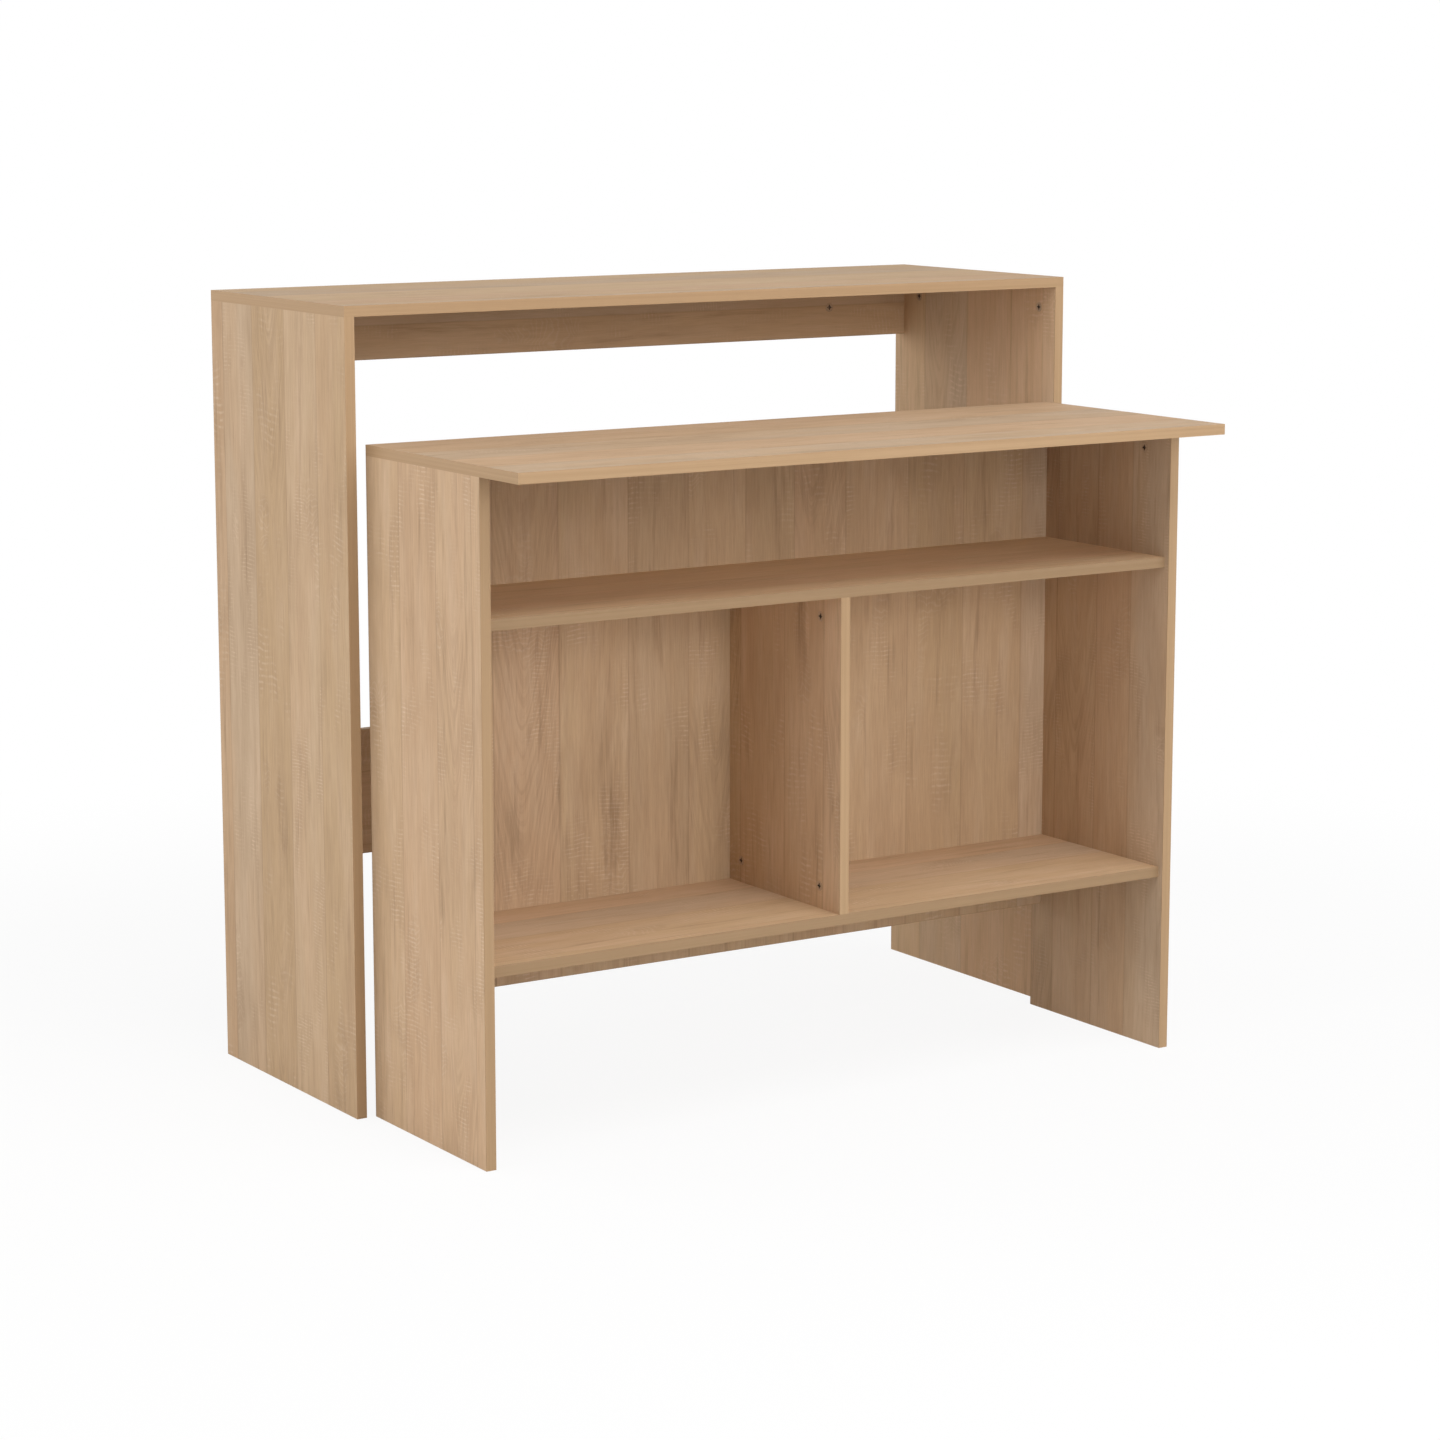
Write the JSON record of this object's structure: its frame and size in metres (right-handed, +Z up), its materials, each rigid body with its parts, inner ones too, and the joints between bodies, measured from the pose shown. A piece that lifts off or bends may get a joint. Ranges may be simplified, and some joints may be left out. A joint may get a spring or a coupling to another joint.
{
  "type": "bar table",
  "caption": "Nesting bar table of flat oak-look boards: a low shelf unit with an overhanging top slides in under a tall open table.",
  "frame": {"origin": "on the floor, at the middle of the length, where the back of the pulled-out lower table meets the front of the tall table", "axes": "+X along the length, to the right seen from the front, +Y from the lower table towards the back of the tall one, +Z up"},
  "size_m": [1.3, 0.88, 1.2],
  "materials": {
    "oak_board": "matt oak-look facing on chipboard",
    "oak_band": "matt oak-look edge band",
    "cam_zinc": "dull cast zinc",
    "bolt_steel": "zinc-plated steel",
    "beech_dowel": "raw beech"
  },
  "bodies": {
    "tall_table": {"tall_top": "oak_board", "tall_left_panel": "oak_board", "tall_right_panel": "oak_board", "upper_rail": "oak_board", "lower_rail": "oak_board", "tall_top_long_edge_bands": "oak_band", "tall_top_end_edge_bands": "oak_band", "tall_left_panel_edge_bands": "oak_band", "tall_right_panel_edge_bands": "oak_band", "upper_rail_edge_band": "oak_band", "lower_rail_edge_bands": "oak_band", "tall_top_cams": "cam_zinc", "tall_top_cam_bolts": "bolt_steel", "tall_top_dowels": "beech_dowel", "upper_rail_cams": "cam_zinc", "upper_rail_cam_bolts": "bolt_steel", "upper_rail_dowels": "beech_dowel", "lower_rail_cams": "cam_zinc", "lower_rail_cam_bolts": "bolt_steel", "lower_rail_dowels": "beech_dowel"},
    "lower_table": {"lower_top": "oak_board", "lower_left_panel": "oak_board", "lower_right_panel": "oak_board", "back_panel": "oak_board", "middle_shelf": "oak_board", "bottom_shelf": "oak_board", "divider": "oak_board", "lower_top_long_edge_bands": "oak_band", "lower_top_end_edge_bands": "oak_band", "lower_left_panel_edge_bands": "oak_band", "lower_right_panel_edge_bands": "oak_band", "back_panel_edge_band": "oak_band", "middle_shelf_edge_band": "oak_band", "bottom_shelf_edge_band": "oak_band", "divider_edge_band": "oak_band", "lower_top_cams": "cam_zinc", "lower_top_cam_bolts": "bolt_steel", "lower_top_dowels": "beech_dowel", "middle_shelf_cams": "cam_zinc", "middle_shelf_cam_bolts": "bolt_steel", "middle_shelf_dowels": "beech_dowel", "bottom_shelf_cams": "cam_zinc", "bottom_shelf_cam_bolts": "bolt_steel", "bottom_shelf_dowels": "beech_dowel", "divider_cams": "cam_zinc", "divider_cam_bolts": "bolt_steel", "divider_dowels": "beech_dowel", "back_panel_cams": "cam_zinc", "back_panel_cam_bolts": "bolt_steel", "back_panel_dowels": "beech_dowel"}
  },
  "joints": [
    {"name": "lower_table_slide", "type": "slide", "parent": "tall_table", "child": "lower_table", "axis": [0, 1, 0], "range_m": [0, 0.414]}
  ]
}
